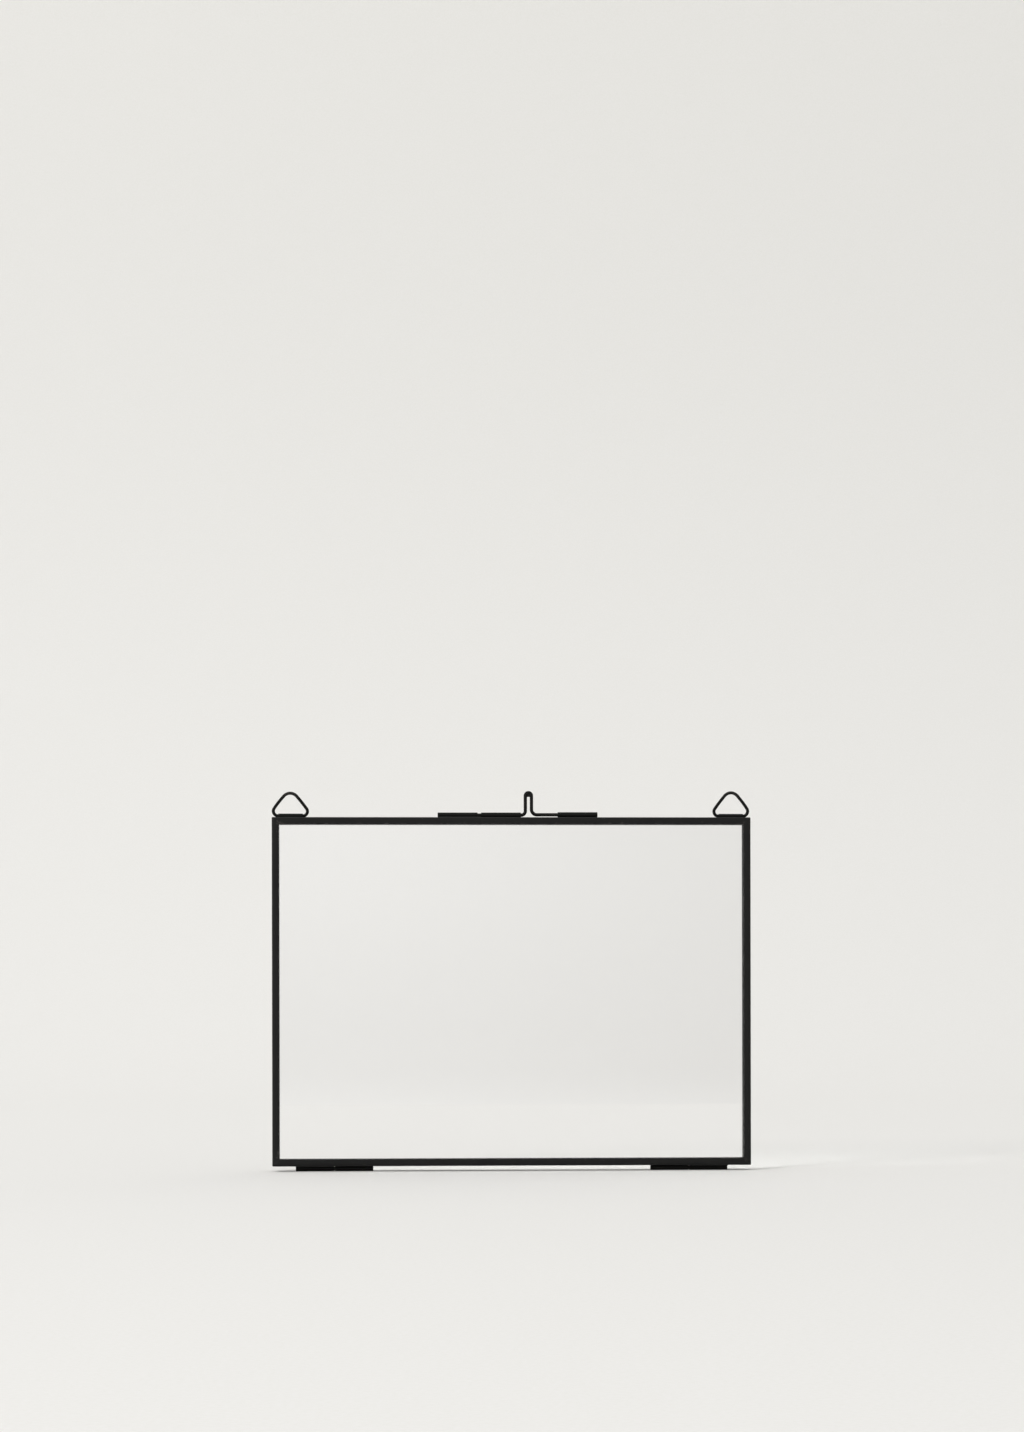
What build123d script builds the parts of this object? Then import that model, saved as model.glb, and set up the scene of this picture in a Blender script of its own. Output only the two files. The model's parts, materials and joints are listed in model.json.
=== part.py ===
"""Hanging double-glass picture frame.

Two glazed half frames of folded, mitred metal channel close face to face, so that a print floats
between their panes. Two barrel hinges under the bottom bars join the halves, a sliding wire latch
locks the top, and two wire rings on the back half hang the frame up. Millimetres.

X runs along the width, -Y is the front and +Z is up. The halves meet at the plane y = 0. The
origin is under the middle of the frame, at the lowest line of the hinge barrels.
"""

import os
from math import radians, tan

from build123d import *

# --- half frames ----------------------------------------------------------------------------------
FRAME_WIDTH = 187.0  # over the outer webs
FRAME_HEIGHT = 136.0  # over the outer webs
FACE_WIDTH = 2.6  # depth of the channel, seen as the width of the bars
SHEET = 0.7  # thickness of the folded sheet
FOLD_RADIUS = 0.15  # inside each fold
CORNER_RADIUS = 0.5  # the four dressed outer corners
HALVES_GAP = 0.4  # between the two closed halves

# --- panes ----------------------------------------------------------------------------------------
PANE_THICKNESS = 2.0
GROOVE_SLACK = 0.6  # the groove is wider than the pane by this
PANE_EDGE_GAP = 0.5  # beside and above the pane, which stands on the bottom web
ARRIS_OVER_FOLD = 0.1  # the pane's ground edges clear the channel's inside folds by this

# --- wire barrels rolled from strip ---------------------------------------------------------------
STRIP = 0.3  # thickness of the strip of the hinges and the latch
WIRE = 1.2  # diameter of the hinge pins and the latch pin
RUNNING_CLEARANCE = 0.05  # radial, wherever a wire turns or slides
BARREL_LIFT = 0.1  # between a barrel and the bars that it crosses

# --- hinges ---------------------------------------------------------------------------------------
HINGE_CENTRE = 69.4  # from the middle of the frame to the middle of each hinge
KNUCKLE_LENGTH = 15.0
KNUCKLE_GAP = 0.2  # between the two knuckles of a hinge
PIN_RECESS = 0.3  # of the pin's ends inside the knuckles

# --- latch ----------------------------------------------------------------------------------------
TUBE_LENGTH = 15.6  # of each of the three barrels
CATCH_END = -13.3  # right end of the catch barrel, which is on the front half
CATCH_GAP = 1.4  # between the catch barrel and the guide barrel
GUIDE_SPAN = 14.4  # between the guide barrel and the tail barrel, where the grip slides
LATCH_ENGAGEMENT = 6.0  # of the pin in the catch barrel
LATCH_TAIL = 6.5  # of the pin in the tail barrel
GRIP_STOP_GAP = 0.1  # between the guide barrel and the grip's first bend
GRIP_LEG_SPACING = 2.4  # between the two legs of the grip
GRIP_HEIGHT = 10.1  # top of the grip above the bars
GRIP_NEAR_BEND = 1.65  # bend radius beside the guide barrel
GRIP_FAR_BEND = 2.1  # bend radius on the tail side
GRIP_CROWN_FLAT = 0.02  # left between the two bends of the crown

# --- hanging rings --------------------------------------------------------------------------------
RING_WIRE = 1.1  # diameter
RING_WIDTH = 14.2  # over the wire
RING_BASE_ANGLE = 51.5  # degrees between the base and each leg
RING_CORNER_RADIUS = 1.6  # centre line, at both ends of the base
RING_CROWN_RADIUS = 2.7  # centre line
RING_BUTT_GAP = 0.5  # between the wire's ends, inside the sleeve
RING_INSET = 0.0  # between the ring's side and the frame's side
SLEEVE_STRIP = 0.2  # thickness of the strip of the sleeve
SLEEVE_LIFT = 0.05
SLEEVE_END_CLEARANCE = 0.15  # between the sleeve and the ring's bends

# --- worked out from the sizes above ----------------------------------------------------------------
HALF_DEPTH = 2 * SHEET + PANE_THICKNESS + GROOVE_SLACK
EDGE_RADIUS = SHEET + FOLD_RADIUS
HALF_CENTRE = (HALVES_GAP + HALF_DEPTH) / 2  # distance of each half's middle from y = 0
FLAT_NEAR = HALVES_GAP / 2 + EDGE_RADIUS  # the flat of a web starts here, from y = 0
FLAT_FAR = HALVES_GAP / 2 + HALF_DEPTH - EDGE_RADIUS  # and ends here
BORE_RADIUS = WIRE / 2 + RUNNING_CLEARANCE
BARREL_RADIUS = BORE_RADIUS + STRIP
AXIS_HEIGHT = BARREL_LIFT + BARREL_RADIUS  # barrel axes above or below the bars
HINGE_Z = BARREL_RADIUS
BOTTOM_Z = HINGE_Z + AXIS_HEIGHT  # underside of the bottom bars
TOP_Z = BOTTOM_Z + FRAME_HEIGHT
LATCH_Z = TOP_Z + AXIS_HEIGHT
SLEEVE_BORE = RING_WIRE / 2 + RUNNING_CLEARANCE
RING_Z = TOP_Z + SLEEVE_LIFT + SLEEVE_BORE + SLEEVE_STRIP
RING_BASE_HALF = RING_WIDTH / 2 - RING_WIRE / 2 - RING_CORNER_RADIUS  # straight part of the base
RING_CENTRE = FRAME_WIDTH / 2 - RING_INSET - RING_WIDTH / 2
GUIDE_START = CATCH_END + CATCH_GAP
TAIL_START = GUIDE_START + TUBE_LENGTH + GUIDE_SPAN

FRONT = -1  # side of the plane y = 0
BACK = 1
UP = 1  # side of the frame that a barrel stands on
DOWN = -1


def channel_section():
    """The folded U: its web is at the bottom and its groove opens upwards."""
    outside = Pos(0, FACE_WIDTH / 2) * Rectangle(HALF_DEPTH, FACE_WIDTH)
    outside = fillet(outside.vertices().group_by(Axis.Y)[0], EDGE_RADIUS)
    groove_width = HALF_DEPTH - 2 * SHEET
    groove = Pos(0, SHEET + FACE_WIDTH / 2) * Rectangle(groove_width, FACE_WIDTH)
    groove = fillet(groove.vertices().group_by(Axis.Y)[0], FOLD_RADIUS)
    return outside - groove


def channel(run):
    """One bar of a half frame, with its web below and both ends mitred at 45 degrees."""
    bar = extrude(Plane.YZ * channel_section(), run / 2, both=True)
    half = run / 2
    inner = half - FACE_WIDTH
    mitres = Polygon((-half, 0), (half, 0), (inner, FACE_WIDTH), (-inner, FACE_WIDTH), align=None)
    return bar & extrude(Plane.XZ * mitres, HALF_DEPTH, both=True)


def half_frame(side):
    """The four bars of one half, keyed by the side of the frame that they are on."""
    dressed = extrude(
        Plane.XZ * RectangleRounded(FRAME_WIDTH, FRAME_HEIGHT, CORNER_RADIUS), HALF_DEPTH, both=True
    )
    long_bar = Pos(0, 0, -FRAME_HEIGHT / 2) * channel(FRAME_WIDTH)
    short_bar = Pos(0, 0, -FRAME_WIDTH / 2) * channel(FRAME_HEIGHT)
    turned = {
        "bottom": long_bar,
        "left": Rot(0, 90, 0) * short_bar,
        "top": Rot(0, 180, 0) * long_bar,
        "right": Rot(0, 270, 0) * short_bar,
    }
    place = Pos(0, side * HALF_CENTRE, BOTTOM_Z + FRAME_HEIGHT / 2)
    return {name: place * (bar & dressed) for name, bar in turned.items()}


def pane(side):
    """A sheet of glass that stands on the bottom web, against its half's outer flange."""
    width = FRAME_WIDTH - 2 * SHEET - 2 * PANE_EDGE_GAP
    height = FRAME_HEIGHT - 2 * SHEET - PANE_EDGE_GAP
    glass = Box(width, PANE_THICKNESS, height)
    glass = chamfer(glass.edges().filter_by(Axis.Y, reverse=True), FOLD_RADIUS + ARRIS_OVER_FOLD)
    y = side * (HALVES_GAP / 2 + HALF_DEPTH - SHEET - PANE_THICKNESS / 2)
    return Pos(0, y, BOTTOM_Z + SHEET + height / 2) * glass


def rolled_barrel(start, length, facing, axis_y, tail_ends, bore, strip, lift):
    """A strip rolled into a barrel along X, with flat tails that are soldered to a web.

    facing is UP on the top bars and DOWN under the bottom bars, and tail_ends are the y values
    that the tails reach.
    """
    outer = bore + strip
    section = Pos(axis_y, lift + outer) * Circle(outer)
    for end in tail_ends:
        section += Pos((axis_y + end) / 2, strip / 2) * Rectangle(abs(end - axis_y), strip)
    section -= Pos(axis_y, lift + outer) * Circle(bore)
    barrel = extrude(Plane.YZ * section, length)
    if facing == DOWN:
        barrel = mirror(barrel, Plane.XY)
    return Pos(start, 0, TOP_Z if facing == UP else BOTTOM_Z) * barrel


def knuckle(start, side):
    """A hinge knuckle. The back one is closed tight on its pin and the front one turns on it."""
    grip = RUNNING_CLEARANCE if side == BACK else 0
    return rolled_barrel(
        start, KNUCKLE_LENGTH, DOWN, 0, [side * FLAT_FAR], BORE_RADIUS - grip, STRIP + grip, BARREL_LIFT
    )


def hinge(hand):
    """Front knuckle, back knuckle and pin. Both front knuckles are outboard, so neither half can
    slide sideways off the other."""
    middle = hand * HINGE_CENTRE
    outboard = middle + hand * (KNUCKLE_GAP + KNUCKLE_LENGTH) / 2
    inboard = middle - hand * (KNUCKLE_GAP + KNUCKLE_LENGTH) / 2
    pin_length = 2 * KNUCKLE_LENGTH + KNUCKLE_GAP - 2 * PIN_RECESS
    pin = Pos(middle, 0, HINGE_Z) * Rot(0, 90, 0) * Cylinder(WIRE / 2, pin_length)
    return {
        "front_knuckle": knuckle(outboard - KNUCKLE_LENGTH / 2, FRONT),
        "back_knuckle": knuckle(inboard - KNUCKLE_LENGTH / 2, BACK),
        "pin": pin,
    }


def latch_barrel(start, side):
    return rolled_barrel(
        start, TUBE_LENGTH, UP, 0, [side * FLAT_FAR], BORE_RADIUS, STRIP, BARREL_LIFT
    )


def bent_wire(points, radii, diameter, plane):
    """A round wire that follows straight runs with a bend at each inner point."""
    path = plane * FilletPolyline(*points, radius=radii)
    section = Plane(origin=path @ 0, z_dir=path % 0) * Circle(diameter / 2)
    return sweep(section, path=path)


def latch_pin():
    """A straight wire with a hairpin grip, at rest with its grip against the guide barrel."""
    near_leg = GUIDE_START + TUBE_LENGTH + GRIP_STOP_GAP + GRIP_NEAR_BEND
    far_leg = near_leg + GRIP_LEG_SPACING
    crown = GRIP_HEIGHT - WIRE / 2 - AXIS_HEIGHT
    crown_bend = (GRIP_LEG_SPACING - GRIP_CROWN_FLAT) / 2
    points = [
        (CATCH_END - LATCH_ENGAGEMENT, 0),
        (near_leg, 0),
        (near_leg, crown),
        (far_leg, crown),
        (far_leg, 0),
        (TAIL_START + LATCH_TAIL, 0),
    ]
    radii = [GRIP_NEAR_BEND, crown_bend, crown_bend, GRIP_FAR_BEND]
    return bent_wire(points, radii, WIRE, Plane((0, 0, LATCH_Z), x_dir=(1, 0, 0), z_dir=(0, -1, 0)))


def hanging_ring(hand):
    """A rounded triangle of wire, whose ends butt inside the sleeve that it turns in."""
    half_angle = radians(RING_BASE_ANGLE / 2)
    corner_x = RING_BASE_HALF + RING_CORNER_RADIUS / tan(half_angle)
    apex_z = corner_x * tan(radians(RING_BASE_ANGLE))
    butt = RING_BUTT_GAP / 2
    points = [(butt, 0), (corner_x, 0), (0, apex_z), (-corner_x, 0), (-butt, 0)]
    radii = [RING_CORNER_RADIUS, RING_CROWN_RADIUS, RING_CORNER_RADIUS]
    base = Plane((hand * RING_CENTRE, HALF_CENTRE, RING_Z), x_dir=(1, 0, 0), z_dir=(0, -1, 0))
    return bent_wire(points, radii, RING_WIRE, base)


def ring_sleeve(hand):
    """The strap that holds a ring's base on the back half's top web, with a tail on each side."""
    half_length = RING_BASE_HALF - SLEEVE_END_CLEARANCE
    return rolled_barrel(
        hand * RING_CENTRE - half_length,
        2 * half_length,
        UP,
        HALF_CENTRE,
        [FLAT_NEAR, FLAT_FAR],
        SLEEVE_BORE,
        SLEEVE_STRIP,
        SLEEVE_LIFT,
    )


def build():
    """Every piece of the frame, keyed by its node name."""
    nodes = {}
    for half_name, side in (("front", FRONT), ("back", BACK)):
        for bar_name, bar in half_frame(side).items():
            nodes[f"{half_name}_{bar_name}_channel"] = bar
        nodes[f"{half_name}_glass"] = pane(side)
    for hand_name, hand in (("left", -1), ("right", 1)):
        for piece_name, piece in hinge(hand).items():
            nodes[f"hinge_{hand_name}_{piece_name}"] = piece
        nodes[f"ring_{hand_name}_sleeve"] = ring_sleeve(hand)
        nodes[f"ring_{hand_name}"] = hanging_ring(hand)
    nodes["latch_catch_barrel"] = latch_barrel(CATCH_END - TUBE_LENGTH, FRONT)
    nodes["latch_guide_barrel"] = latch_barrel(GUIDE_START, BACK)
    nodes["latch_tail_barrel"] = latch_barrel(TAIL_START, BACK)
    nodes["latch_pin"] = latch_pin()
    return nodes


os.makedirs("parts", exist_ok=True)
for node_name, node in build().items():
    export_step(node, f"parts/{node_name}.step")
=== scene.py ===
"""A hanging double-glass picture frame in black lacquered steel, on a pale paper sweep.

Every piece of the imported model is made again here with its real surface: folded channels with
mitred corners, barrels rolled from strip, hand-bent wire, solder under the lacquer, and float
glass. Sizes are millimetres times MM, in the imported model's own frame: X along the width, -Y the
front, +Z up.
"""

import json
import math

import bmesh
import bpy
from mathutils import Matrix, Vector, noise


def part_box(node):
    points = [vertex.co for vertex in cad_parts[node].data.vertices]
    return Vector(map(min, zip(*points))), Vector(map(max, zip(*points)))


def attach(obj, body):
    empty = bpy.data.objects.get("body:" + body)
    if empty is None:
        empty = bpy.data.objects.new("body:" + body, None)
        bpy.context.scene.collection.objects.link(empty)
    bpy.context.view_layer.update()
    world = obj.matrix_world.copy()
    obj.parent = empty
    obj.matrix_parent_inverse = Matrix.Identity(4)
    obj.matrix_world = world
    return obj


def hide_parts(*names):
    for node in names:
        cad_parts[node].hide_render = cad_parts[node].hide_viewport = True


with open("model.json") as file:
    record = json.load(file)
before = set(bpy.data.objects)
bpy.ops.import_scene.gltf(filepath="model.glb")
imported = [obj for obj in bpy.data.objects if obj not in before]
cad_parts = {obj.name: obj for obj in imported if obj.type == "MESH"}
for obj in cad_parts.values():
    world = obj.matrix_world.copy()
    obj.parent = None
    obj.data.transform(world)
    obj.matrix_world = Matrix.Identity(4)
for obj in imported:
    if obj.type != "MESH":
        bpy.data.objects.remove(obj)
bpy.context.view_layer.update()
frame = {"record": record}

MM = 0.001
FRONT = -1  # side of the plane y = 0 where the two halves meet
BACK = 1
UP = 1  # side of the frame that a barrel stands on
DOWN = -1

COAT = 0.07 * MM  # dipped and stoved lacquer, over the bare metal's size

# --- folded channels --------------------------------------------------------------------------------
FOLD_RADIUS = 0.15 * MM  # inside each fold
LIP_EASE = 0.08 * MM  # rounding of the sheet's cut edges
CORNER_RADIUS = 0.5 * MM  # dressed outer corners
CUT_EASE = 0.05 * MM  # rounding of a mitre's or a tube's cut end
HAND_WAVE = 0.03 * MM  # how far the hand-folded faces wander
HAND_WAVE_LENGTH = 17 * MM
HAND_WAVE_REACH = 9 * MM  # from a mitre, over which the wandering dies away
CORNER_WEAR_AND_HIGHLIGHT = 0.3  # extra lightening at a mitre: wear, and partly a painted highlight
CORNER_WEAR_AND_HIGHLIGHT_REACH = 4 * MM
PATCH_WEAR_AND_HIGHLIGHT = 0.16  # how much the edges' lightening, wear and partly a painted highlight, varies along a bar
PATCH_LENGTH = 6 * MM
FOLD_STEPS = 6  # faces round the outside of a fold
LIP_STEPS = 3  # faces round each eased edge of a lip
FACE_SPACING = 3 * MM  # between the cross-sections of a bar

# --- panes ------------------------------------------------------------------------------------------
ARRIS = 0.25 * MM

# --- rolled barrels ---------------------------------------------------------------------------------
ROLL_SWEEP = 316  # degrees that the strip goes round before its free edge meets its own tail
STRAP_SPRING = 38  # degrees below the axis where a ring's strap leaves the wire
BARREL_LIFT = 0.1 * MM  # between a barrel and its bar
STRAP_LIFT = 0.05 * MM  # between a ring's bare strap and its bar
RUNNING_CLEARANCE = 0.05 * MM  # between a wire and the bore that it runs in
STRIP_SPACING = 1.2 * MM  # between the cross-sections of a barrel
STRIP_WANDER = 0.02 * MM  # how uneven a rolled strip is along its length
STRIP_RUB = 0.12  # wear all over a barrel
STRIP_END_RUB = 0.4  # extra wear at its ends
STRIP_RUB_REACH = 0.8 * MM  # from an end, over which the extra wear dies away
ROLL_LEAD = 12  # degrees before a barrel's lowest point, where its strip starts to go round
ROLL_STEPS = 28  # faces round a barrel
STRAP_STEPS = 18  # faces round a ring's strap

# --- bent wires -------------------------------------------------------------------------------------
WIRE_SIDES = 20
CUT_BEVEL = [(0.0, 0.62), (0.06 * MM, 0.86), (0.18 * MM, 1.0)]  # depth and share of the radius
GRIP_LEG_SPACING = 2.4 * MM
GRIP_NEAR_BEND = 1.65 * MM
GRIP_FAR_BEND = 2.1 * MM
GRIP_STOP_GAP = 0.1 * MM
GRIP_STRETCH = 0.35 * MM  # how much taller than drawn the hand-bent loop came out
RUN_RISE = 0.15 * MM  # how much higher the wire and its barrel are on the far side of the loop
CROWN_WEB = 1.05 * MM  # lacquer that fills the top of the grip's loop
RING_BASE_ANGLE = 51.5  # degrees between a ring's base and each leg
RING_CORNER_RADIUS = 1.6 * MM
RING_CROWN_RADIUS = 3.3 * MM
RING_BUTT_GAP = 0.5 * MM

# --- solder -----------------------------------------------------------------------------------------
SEAM_HALF_WIDTH = 0.2 * MM
SEAM_HEIGHT = 0.055 * MM
FILLET_HALF_WIDTH = 0.24 * MM
FILLET_HEIGHT = 0.26 * MM
CATCH_OVERRUN = 1.9 * MM  # solder of the catch that flowed on towards the guide
GROOVE_POINTS = 6  # points of each side of the folded outline that lie in the groove
BEAD_END = 0.25  # share of its size that a run of solder keeps at its ends
BEAD_LUMP = 0.3  # how uneven a run of solder is
BEAD_LUMP_LENGTH = 1.3 * MM


# --- materials --------------------------------------------------------------------------------------
LACQUER_IOR = 1.48
GLASS_IOR = 1.52
CLOUD_SIZE = 9 * MM  # between the thicker and thinner places of a dipped coat
PEEL_DEPTH = 0.02 * MM
PEEL_STRENGTH = 0.22
MARK_SHARE = 0.35  # how much of the metal's marks shows through the lacquer, to its own swells


def linear(hex_colour):
    """An sRGB hex colour as the linear RGBA that shaders take."""
    channels = [int(hex_colour[place : place + 2], 16) / 255 for place in (1, 3, 5)]
    return (*(c / 12.92 if c <= 0.04045 else ((c + 0.055) / 1.055) ** 2.4 for c in channels), 1)


def add_node(tree, kind, settings=None, values=None, links=None):
    """Adds a node with its settings, the values of its sockets and the links into them."""
    made = tree.nodes.new(kind)
    for name, value in (settings or {}).items():
        setattr(made, name, value)
    for socket, value in (values or {}).items():
        made.inputs[socket].default_value = value
    for socket, source in (links or {}).items():
        tree.links.new(source, made.inputs[socket])
    return made


def set_ramp(ramp, stops):
    """Gives a colour ramp its stops, each a place and a linear colour."""
    elements = ramp.color_ramp.elements
    while len(elements) < len(stops):
        elements.new(1)
    for element, (place, colour) in zip(elements, stops):
        element.position = place
        element.color = colour


def new_material(name):
    material = bpy.data.materials.new(name)
    material.use_nodes = True
    material.node_tree.nodes.clear()
    return material, material.node_tree


def grey(value):
    return (value, value, value, 1)


def lacquered_metal(
    name, lacquer, bared_and_highlight_colour, gloss, roughness, peel, grain, grain_stretch, wear_and_highlight_reach
):
    """Stoving lacquer on metal: an even satin black that levels into a shallow orange peel.

    peel is the distance between the swells of the lacquer, and grain that of the marks of the
    metal under it, which grain_stretch lengthens along X. Where the per-vertex wear value is high,
    the lacquer turns to the lighter bared colour: polished through where handling and sliding rub
    an edge, and on the folded channels' folds, lips and mitre corners partly a painted highlight.
    gloss is the specular level that the matting powder leaves, where clear lacquer has 0.5.
    """
    material, tree = new_material(name)
    place = add_node(tree, "ShaderNodeTexCoord").outputs["Object"]
    stretched = add_node(
        tree, "ShaderNodeMapping", values={"Scale": grain_stretch}, links={"Vector": place}
    ).outputs["Vector"]
    swells = add_node(
        tree,
        "ShaderNodeTexNoise",
        values={"Scale": 1 / peel, "Detail": 2, "Roughness": 0.45},
        links={"Vector": place},
    ).outputs["Fac"]
    marks = add_node(
        tree,
        "ShaderNodeTexNoise",
        values={"Scale": 1 / grain, "Detail": 5, "Roughness": 0.62},
        links={"Vector": stretched},
    ).outputs["Fac"]
    clouds = add_node(
        tree,
        "ShaderNodeTexNoise",
        values={"Scale": 1 / CLOUD_SIZE, "Detail": 3, "Roughness": 0.5},
        links={"Vector": place},
    ).outputs["Fac"]

    # The wear value is broken up by the metal's marks, so that the lighter bared colour, wear and on
    # the channels' edges partly a painted highlight, is patchy and not a stripe.
    wear_and_highlight = add_node(tree, "ShaderNodeAttribute", {"attribute_name": "wear_and_highlight"}).outputs["Fac"]
    patchy = add_node(
        tree, "ShaderNodeMath", {"operation": "MULTIPLY_ADD"}, {1: 1.5, 2: -0.75}, {0: marks}
    ).outputs[0]
    worn_and_highlighted = add_node(tree, "ShaderNodeMath", {"operation": "ADD"}, links={0: wear_and_highlight, 1: patchy})
    bared_and_highlight_share = add_node(
        tree,
        "ShaderNodeMapRange",
        {"interpolation_type": "SMOOTHSTEP"},
        {"From Min": 1 - wear_and_highlight_reach, "From Max": 1.25 - wear_and_highlight_reach},
        {"Value": worn_and_highlighted.outputs[0]},
    ).outputs["Result"]

    shade = add_node(tree, "ShaderNodeValToRGB", links={"Fac": clouds})
    dark, light = lacquer
    set_ramp(shade, [(0.3, linear(dark)), (0.7, linear(light))])
    colour = add_node(
        tree,
        "ShaderNodeMix",
        {"data_type": "RGBA"},
        {"B": linear(bared_and_highlight_colour)},
        {"Factor": bared_and_highlight_share, "A": shade.outputs["Color"]},
    )
    sheen = add_node(
        tree,
        "ShaderNodeMapRange",
        values={"From Min": 0.3, "From Max": 0.7, "To Min": roughness[0], "To Max": roughness[1]},
        links={"Value": clouds},
    ).outputs["Result"]
    heights = add_node(
        tree, "ShaderNodeMath", {"operation": "MULTIPLY_ADD"}, {1: MARK_SHARE}, {0: marks, 2: swells}
    ).outputs[0]
    bump = add_node(
        tree,
        "ShaderNodeBump",
        values={"Strength": PEEL_STRENGTH, "Distance": PEEL_DEPTH},
        links={"Height": heights},
    )
    surface = add_node(
        tree,
        "ShaderNodeBsdfPrincipled",
        values={"IOR": LACQUER_IOR, "Specular IOR Level": gloss},
        links={
            "Base Color": colour.outputs["Result"],
            "Roughness": sheen,
            "Normal": bump.outputs["Normal"],
        },
    )
    add_node(tree, "ShaderNodeOutputMaterial", links={"Surface": surface.outputs["BSDF"]})
    return material


def float_glass():
    """Float glass: perfectly flat and clear, with its iron's green only where it is thick."""
    material, tree = new_material("clear_float_glass")
    glass = add_node(
        tree,
        "ShaderNodeBsdfPrincipled",
        values={
            "Base Color": linear("#ffffff"),
            "Roughness": 0.0,
            "IOR": GLASS_IOR,
            "Transmission Weight": 1.0,
        },
    )
    # Lamps shine through the pane and lose only what its two faces reflect.
    through = add_node(tree, "ShaderNodeBsdfTransparent", values={"Color": linear("#f6f7f7")})
    path = add_node(tree, "ShaderNodeLightPath")
    either = add_node(
        tree,
        "ShaderNodeMixShader",
        links={
            "Fac": path.outputs["Is Shadow Ray"],
            1: glass.outputs["BSDF"],
            2: through.outputs["BSDF"],
        },
    )
    add_node(tree, "ShaderNodeOutputMaterial", links={"Surface": either.outputs["Shader"]})
    return material


def ground_edge():
    """The panes' cut edges, ground with a fine belt: frosted, and greener than the faces."""
    material, tree = new_material("ground_glass_edge")
    place = add_node(tree, "ShaderNodeTexCoord").outputs["Object"]
    grit = add_node(
        tree,
        "ShaderNodeTexNoise",
        values={"Scale": 1 / (0.12 * MM), "Detail": 2},
        links={"Vector": place},
    ).outputs["Fac"]
    bump = add_node(
        tree,
        "ShaderNodeBump",
        values={"Strength": 0.4, "Distance": 0.01 * MM},
        links={"Height": grit},
    )
    surface = add_node(
        tree,
        "ShaderNodeBsdfPrincipled",
        values={
            "Base Color": linear("#b9d3c6"),
            "Roughness": 0.55,
            "IOR": GLASS_IOR,
            "Transmission Weight": 0.6,
        },
        links={"Normal": bump.outputs["Normal"]},
    )
    add_node(tree, "ShaderNodeOutputMaterial", links={"Surface": surface.outputs["BSDF"]})
    return material


def paper_sweep():
    """Matt background paper: an almost even warm white with a faint tooth."""
    material, tree = new_material("matt_background_paper")
    place = add_node(tree, "ShaderNodeTexCoord").outputs["Object"]
    tooth = add_node(
        tree,
        "ShaderNodeTexNoise",
        values={"Scale": 1 / (1.2 * MM), "Detail": 3},
        links={"Vector": place},
    ).outputs["Fac"]
    shade = add_node(tree, "ShaderNodeValToRGB", links={"Fac": tooth})
    set_ramp(shade, [(0.3, linear("#ebeae7")), (0.7, linear("#eeedeb"))])
    bump = add_node(
        tree,
        "ShaderNodeBump",
        values={"Strength": 0.1, "Distance": 0.05 * MM},
        links={"Height": tooth},
    )
    surface = add_node(
        tree,
        "ShaderNodeBsdfPrincipled",
        values={"Roughness": 0.95, "Specular IOR Level": 0.1},
        links={"Base Color": shade.outputs["Color"], "Normal": bump.outputs["Normal"]},
    )
    add_node(tree, "ShaderNodeOutputMaterial", links={"Surface": surface.outputs["BSDF"]})
    return material


# Folded steel sheet: the rolling marks of the sheet show faintly through thin satin lacquer.
folded_steel = lacquered_metal(
    "satin_black_lacquer_on_folded_steel",
    lacquer=("#0d0d0d", "#121211"),
    # Lighter colour at worn edges, partly a painted highlight on the folds, lips and mitre corners.
    bared_and_highlight_colour="#3d3b38",
    gloss=0.215,
    roughness=(0.48, 0.58),
    peel=0.9 * MM,
    grain=0.35 * MM,
    grain_stretch=(0.12, 1, 0.12),
    wear_and_highlight_reach=0.42,
)
# Steel strip rolled and soldered by hand: the lacquer is thicker and more uneven over it.
rolled_strip = lacquered_metal(
    "satin_black_lacquer_on_rolled_strip",
    lacquer=("#0c0c0b", "#121211"),
    bared_and_highlight_colour="#34322f",
    gloss=0.15,
    roughness=(0.5, 0.62),
    peel=0.6 * MM,
    grain=0.25 * MM,
    grain_stretch=(0.2, 1, 1),
    wear_and_highlight_reach=0.45,
)
# Drawn steel wire: fine lengthwise drawing lines, and bright rubbed steel where the wire slides.
drawn_wire = lacquered_metal(
    "satin_black_lacquer_on_drawn_wire",
    lacquer=("#0b0b0a", "#111110"),
    bared_and_highlight_colour="#34322f",
    gloss=0.13,
    roughness=(0.5, 0.6),
    peel=0.5 * MM,
    grain=0.16 * MM,
    grain_stretch=(0.1, 1, 0.35),
    wear_and_highlight_reach=0.5,
)
# Soft solder dressed with a file and lacquered over: lumpy, and a little glossier than the sheet.
lacquered_solder = lacquered_metal(
    "black_lacquer_on_soft_solder",
    lacquer=("#0f0f0e", "#141413"),
    bared_and_highlight_colour="#3a3834",
    gloss=0.2,
    roughness=(0.42, 0.52),
    peel=0.35 * MM,
    grain=0.2 * MM,
    grain_stretch=(1, 1, 1),
    wear_and_highlight_reach=0.4,
)
pane_glass = float_glass()
pane_edge = ground_edge()


# --- mesh helpers -----------------------------------------------------------------------------------
def new_bmesh():
    bm = bmesh.new()
    bm.verts.layers.float.new("wear_and_highlight")
    return bm


def add_ring(bm, points, wear_and_highlight=0.0):
    """Adds one cross-section. Its wear value, which on the channels' edges is partly a painted
    highlight, is one number or one for each point.
    """
    layer = bm.verts.layers.float["wear_and_highlight"]
    ring = []
    for index, point in enumerate(points):
        vert = bm.verts.new(point)
        vert[layer] = wear_and_highlight[index] if isinstance(wear_and_highlight, list) else wear_and_highlight
        ring.append(vert)
    return ring


def skin(bm, rings):
    """Joins neighbouring cross-sections with faces and closes both ends."""
    for near, far in zip(rings, rings[1:]):
        for index in range(len(near)):
            after = (index + 1) % len(near)
            bm.faces.new((near[index], near[after], far[after], far[index]))
    bm.faces.new(rings[0][::-1])
    bm.faces.new(rings[-1])


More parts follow.
